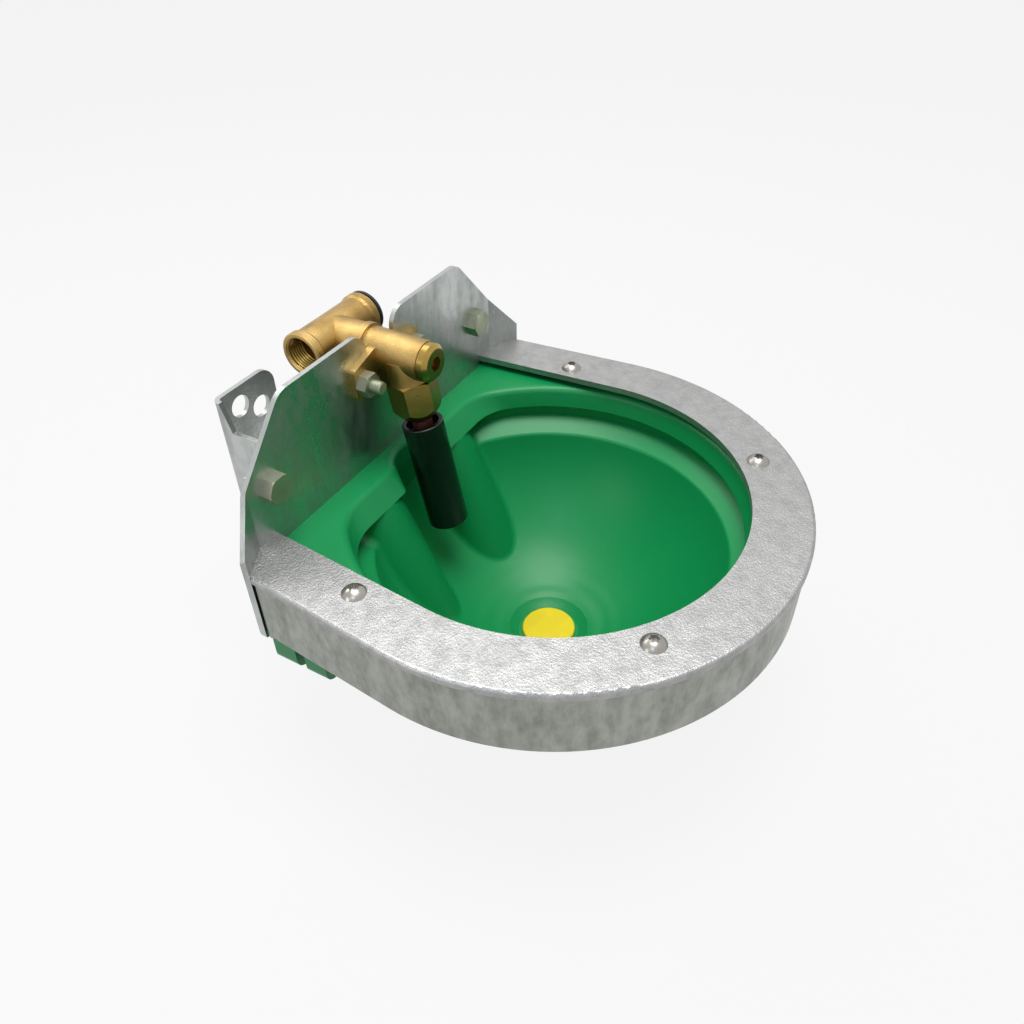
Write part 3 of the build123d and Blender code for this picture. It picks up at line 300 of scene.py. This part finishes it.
def galvanised(name, bright, dull, roughness, spread, cloud_mm, run, pebble_mm, relief_mm):
    """Zinc skin: grey clouds of one size, drawn out downwards by the run and a little paler by crystals,
    rougher by the spread where dull, under pebbles of another size and height."""
    material, tree, skin = shader(name, bright, 1.0, roughness)
    where = add(tree, "TexCoord").outputs["Object"]
    drained = add(tree, "Mapping", {"Vector": where, "Scale": (1.0, 1.0, 1.0 / run)}).outputs[0]
    cloud_size = {"Scale": 1000.0 / cloud_mm, "Detail": 6.0, "Roughness": 0.65}
    clouds = add(tree, "TexNoise", {"Vector": drained, **cloud_size}).outputs["Fac"]
    crystals = add(tree, "TexVoronoi", {"Vector": where, "Scale": 1000.0 / CRYSTAL_MM}).outputs["Distance"]
    patch = add(tree, "Math", {0: crystals, 1: CRYSTAL_SHARE}, operation="MULTIPLY").outputs[0]
    both = add(tree, "Math", {0: clouds, 1: patch}, operation="ADD").outputs[0]
    tone = add(tree, "MapRange", {"Value": both, "From Min": 0.38, "From Max": 0.7}).outputs[0]
    two_tones(tree, skin, tone, dull, bright)
    rough = add(tree, "MapRange", {"Value": tone, "To Min": roughness + spread, "To Max": roughness})
    tree.links.new(rough.outputs[0], skin.inputs["Roughness"])
    raised_grain(tree, skin, where, pebble_mm, relief_mm, detail=3.0, wildness=0.6)
    return material


# Thick, quickly frozen zinc: pale and even, broken into small bright dimples.
ring_zinc = galvanised(
    "pebbly galvanised steel", "a9a9a8", "929392",
    roughness=0.38, spread=0.1, cloud_mm=7.0, run=1.0, pebble_mm=1.2, relief_mm=0.34,
)
finish_node("guard_ring", ring_zinc)

# Zinc that drained down a standing strip: greyer, in soft streaks.
skirt_zinc = galvanised(
    "cloudy galvanised steel", "a2a39d", "858981",
    roughness=0.42, spread=0.1, cloud_mm=9.0, run=2.5, pebble_mm=2.2, relief_mm=0.26,
)
for part in ("guard_skirt", "guard_welds"):
    finish_node(part, skirt_zinc)

# Zinc on flat sheet: smooth enough to mirror the green basin softly, with long pale streaks.
sheet_zinc = galvanised(
    "smooth galvanised sheet", "b9bcba", "979c99",
    roughness=0.24, spread=0.24, cloud_mm=16.0, run=3.5, pebble_mm=5.0, relief_mm=0.14,
)
for part in ("back_plate", "wall_bracket_left", "wall_bracket_right"):
    finish_node(part, sheet_zinc)

# ---- Screws, bolts, nuts, washers and the valve's steel ----
# Stainless button heads in the ring, and the stem, spring, spring washer and strainer inside the valve.
# Zinc-plated hex bolts, nuts and washers through the plate.

# Stainless, cold headed: bright, with one sharp highlight on each dome.
stainless = speckled(
    "bright stainless steel", "a5a29c", "8f8c86",
    metallic=1.0, roughness=0.26, grain_mm=1.2, relief_mm=0.02,
)
for part in ("ring_screws", "valve_stem", "spring_washer", "valve_spring", "inlet_strainer"):
    finish_node(part, stainless)

# Electroplated zinc: a thin, slightly yellow-green film, softer than the stainless.
zinc_plate = speckled(
    "zinc-plated steel", "a7ab98", "8c907c",
    metallic=1.0, roughness=0.42, grain_mm=1.5, relief_mm=0.05,
)
for part in ("bracket_bolts", "bracket_nuts", "flange_bolts", "flange_washers", "flange_nuts"):
    finish_node(part, zinc_plate)

# ---- Brass valve and tee ----
# The valve body and the tee are cast in brass, tumbled and left bare.  The outlet nut, the regulating
# screw and the ring's thread inserts are turned from bar.
TARNISH_MM = 22.2


def brass(name, bright, dull, roughness, grain_mm, relief_mm):
    """Bare brass: cloudy tarnish over a cast or turned grain of a stated size and height."""
    material, tree, skin = shader(name, bright, 1.0, roughness)
    where = add(tree, "TexCoord").outputs["Object"]
    clouds = add(tree, "TexNoise", {"Vector": where, "Scale": 1000.0 / TARNISH_MM, "Detail": 4.0})
    share = {"Value": clouds.outputs["Fac"], "From Min": 0.3, "From Max": 0.7}
    two_tones(tree, skin, add(tree, "MapRange", share).outputs[0], dull, bright)
    raised_grain(tree, skin, where, grain_mm, relief_mm, detail=3.0, wildness=0.6)
    return material


# Sand cast: pale, soft highlights broken by the sandy grain.
cast_brass = brass(
    "cast brass", "c3a568", "967845",
    roughness=0.34, grain_mm=0.8, relief_mm=0.26,
)
for part in ("valve_body", "tee"):
    finish_node(part, cast_brass)

# Turned: smoother and a little deeper in colour.
turned_brass = brass(
    "turned brass", "b79a58", "8f7539",
    roughness=0.26, grain_mm=2.0, relief_mm=0.05,
)
for part in ("outlet_nut", "regulating_screw", "ring_inserts"):
    finish_node(part, turned_brass)

# ---- Cut threads ----
# The pipe thread in the open end of the tee, and the bolt ends that stand out of their nuts: helical
# ridges, cut in the brass and rolled on the zinc-plated steel.
PIPE_PITCH_MM = 1.814
PIPE_WALL_MM = 10.37
PIPE_ROOT_MM = 10.27
PIPE_CREST_MM = 9.3
PIPE_SPAN_MM = (-28.3, -14.7)
TEE_AXIS = (-0.038, 0.0695)
BOLT_RIDGE_MM = 0.2
BOLT_SKIN_MM = 0.6
BOLT_TIP_MM = 0.6
ROUND_STEPS = 48
ROWS_A_PITCH = 6


def closed_band(name, radius, along, axis, centre, material):
    """A ring-shaped skin from two grids in mm, (rows, steps round): each point sits at its radius, turned
    by its step's angle about the axis line through the centre, and at its distance along that axis.  Rows
    and steps both close on themselves, and six times the volume inside tells which way the faces look."""
    rows, steps = radius.shape
    angle = np.linspace(0.0, 2 * np.pi, steps, endpoint=False)
    others = [k for k in range(3) if k != axis]
    points = np.zeros((rows, steps, 3))
    points[..., others[0]] = centre[0] + radius * np.cos(angle) / 1000.0
    points[..., others[1]] = centre[1] + radius * np.sin(angle) / 1000.0
    points[..., axis] = along / 1000.0
    row, step = np.meshgrid(np.arange(rows), np.arange(steps), indexing="ij")
    here = row * steps + step
    right = row * steps + (step + 1) % steps
    below = (row + 1) % rows * steps + step
    corner = (row + 1) % rows * steps + (step + 1) % steps
    quads = np.stack([here, right, corner, below], axis=-1).reshape(-1, 4)
    flat = points.reshape(-1, 3)
    a, b, c, d = (flat[quads[:, k]] for k in range(4))
    inside = (a * (np.cross(b, c) + np.cross(c, d))).sum()
    if inside < 0:
        quads = quads[:, ::-1]
    mesh = bpy.data.meshes.new(name)
    mesh.from_pydata(flat.tolist(), [], quads.tolist())
    mesh.polygons.foreach_set("use_smooth", np.ones(len(quads), dtype=bool))
    mesh.materials.append(material)
    piece = bpy.data.objects.new(name, mesh)
    bpy.context.collection.objects.link(piece)
    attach(piece, "unit")


def thread(name, radii, pitch, span, axis, centre, material):
    """Helical ridge: radius = root + (crest - root) * triangle wave of (distance/pitch + angle/turn),
    fading out over the last pitch at each end, with a plain cylinder behind it.  The radii are those of
    the cylinder, the root and the crest, in mm."""
    back, root, crest = radii
    rows = int(abs(span[1] - span[0]) / pitch * ROWS_A_PITCH) + 1
    along = np.linspace(span[0], span[1], rows)[:, None]
    turn = np.linspace(0.0, 1.0, ROUND_STEPS, endpoint=False)[None, :]
    phase = (along / pitch + turn) % 1.0
    fade = np.clip(np.minimum(along - span[0], span[1] - along) / pitch, 0.0, 1.0)
    ridge = root + (crest - root) * (1.0 - np.abs(2.0 * phase - 1.0)) * fade
    backing = np.full((rows, ROUND_STEPS), back)
    radius = np.concatenate([ridge, backing[::-1]])
    level = np.broadcast_to(along, ridge.shape)
    place = np.concatenate([level, level[::-1]])
    closed_band(name, radius, place, axis, centre, material)


pipe_radii = (PIPE_WALL_MM, PIPE_ROOT_MM, PIPE_CREST_MM)
thread("inlet_thread", pipe_radii, PIPE_PITCH_MM, PIPE_SPAN_MM, 0, TEE_AXIS, turned_brass)


def bolt_end_threads(bolts, nuts, pitch, crest, towards_wall):
    """A thread on the free end of each of two bolts, from its nut's face to just short of its tip.  A nut
    stands with two flats level, so it is 2 / sqrt(3) as wide as it is high, and the bolt runs through its
    middle."""
    low, high = np.array(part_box(bolts)) * 1000.0
    nut_low, nut_high = np.array(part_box(nuts)) * 1000.0
    half_wide = (nut_high[2] - nut_low[2]) / math.sqrt(3)
    height = (nut_high[2] + nut_low[2]) / 2000.0
    free = (nut_high[1], high[1] - BOLT_TIP_MM) if towards_wall else (low[1] + BOLT_TIP_MM, nut_low[1])
    radii = (crest - BOLT_SKIN_MM, crest - BOLT_RIDGE_MM, crest)
    for side, middle in (("left", nut_low[0] + half_wide), ("right", nut_high[0] - half_wide)):
        name = bolts + "_thread_" + side
        thread(name, radii, pitch, free, 1, (middle / 1000.0, height), zinc_plate)


bolt_end_threads("flange_bolts", "flange_nuts", pitch=1.25, crest=4.12, towards_wall=False)
bolt_end_threads("bracket_bolts", "bracket_nuts", pitch=1.5, crest=5.12, towards_wall=True)

# ---- Tube, its holder and the tee's plug ----
# A length of black polyethylene pipe pushed over a red-brown rubber holder, which the valve's stem carries.
# The plug in the tee's unused end is moulded in black nylon.

# Extruded polyethylene: black and glossy, with one long highlight down the tube.
pipe_black = speckled(
    "extruded black polyethylene", "0e1010", "0a0c0c",
    metallic=0.0, roughness=0.16, grain_mm=6.0, relief_mm=0.03,
)
finish_node("actuator_tube", pipe_black)

# Nylon: a softer black than the tube's, with a broad dull highlight.
nylon = speckled(
    "moulded black nylon", "191a1c", "121315",
    metallic=0.0, roughness=0.42, grain_mm=1.2, relief_mm=0.04,
)
finish_node("tee_plug", nylon)

# Soft rubber: a dark rust red, matt.
red_rubber = speckled(
    "red-brown rubber", "55281b", "3f1c13",
    metallic=0.0, roughness=0.5, grain_mm=1.0, relief_mm=0.05,
)
finish_node("tube_holder", red_rubber)

bpy.context.scene.view_settings.view_transform = "Standard"
